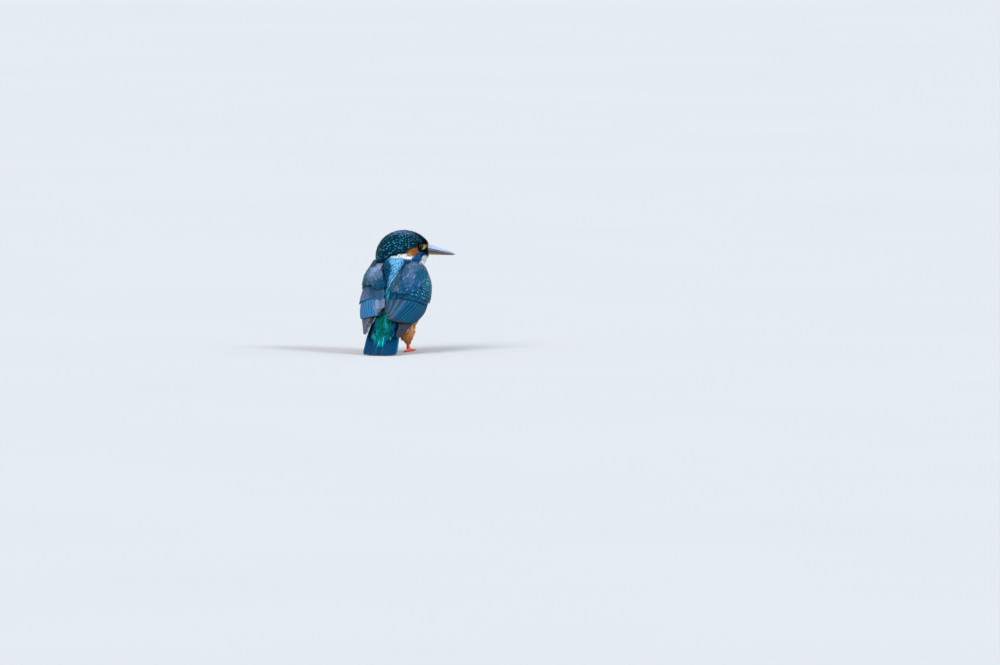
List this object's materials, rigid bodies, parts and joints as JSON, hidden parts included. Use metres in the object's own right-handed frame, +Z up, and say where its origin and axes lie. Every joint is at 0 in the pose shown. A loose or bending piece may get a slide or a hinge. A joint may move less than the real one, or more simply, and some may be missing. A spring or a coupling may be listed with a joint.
{
  "type": "common kingfisher",
  "caption": "Life-size common kingfisher standing still with closed wings, its head turned over the right shoulder and its tail resting on the floor.",
  "frame": {"origin": "on the floor, under the middle of the whole bird's box", "axes": "+Y is the way the body faces, +X is the bird's right, +Z is up"},
  "size_m": [0.0684, 0.0908, 0.0971],
  "materials": {
    "cap_feathers": "soft satin feathers, blue-black with pale turquoise spots",
    "back_feathers": "silky azure feathers, cyan to teal on the rump",
    "wing_feathers": "satin teal-blue feathers with brown inner edges and pale dots",
    "quills": "satin dark brown flight feathers",
    "tail_feathers": "satin deep blue feathers with dark shafts",
    "white_feathers": "soft matt white feathers",
    "rufous_feathers": "soft matt orange-brown feathers",
    "coral_skin": "scaled coral-red skin, slightly shiny",
    "horn": "smooth black horn with a satin shine",
    "eye": "wet glossy dark brown"
  },
  "bodies": {
    "root": {"head": "cap_feathers", "bill_upper": "horn", "bill_lower": "horn", "eye_left": "eye", "eye_right": "eye", "neck": "white_feathers", "trunk": "back_feathers", "tail_coverts": "back_feathers", "tail_feathers": "tail_feathers", "wing_left_coverts": "wing_feathers", "wing_left_secondaries": "wing_feathers", "wing_left_primaries": "quills", "wing_right_coverts": "wing_feathers", "wing_right_secondaries": "wing_feathers", "wing_right_primaries": "quills", "thigh_left": "rufous_feathers", "thigh_right": "rufous_feathers", "tarsus_left": "coral_skin", "tarsus_right": "coral_skin", "foot_left": "coral_skin", "foot_right": "coral_skin", "claw_left_inner": "horn", "claw_left_middle": "horn", "claw_left_outer": "horn", "claw_left_hind": "horn", "claw_right_inner": "horn", "claw_right_middle": "horn", "claw_right_outer": "horn", "claw_right_hind": "horn"}
  },
  "joints": []
}
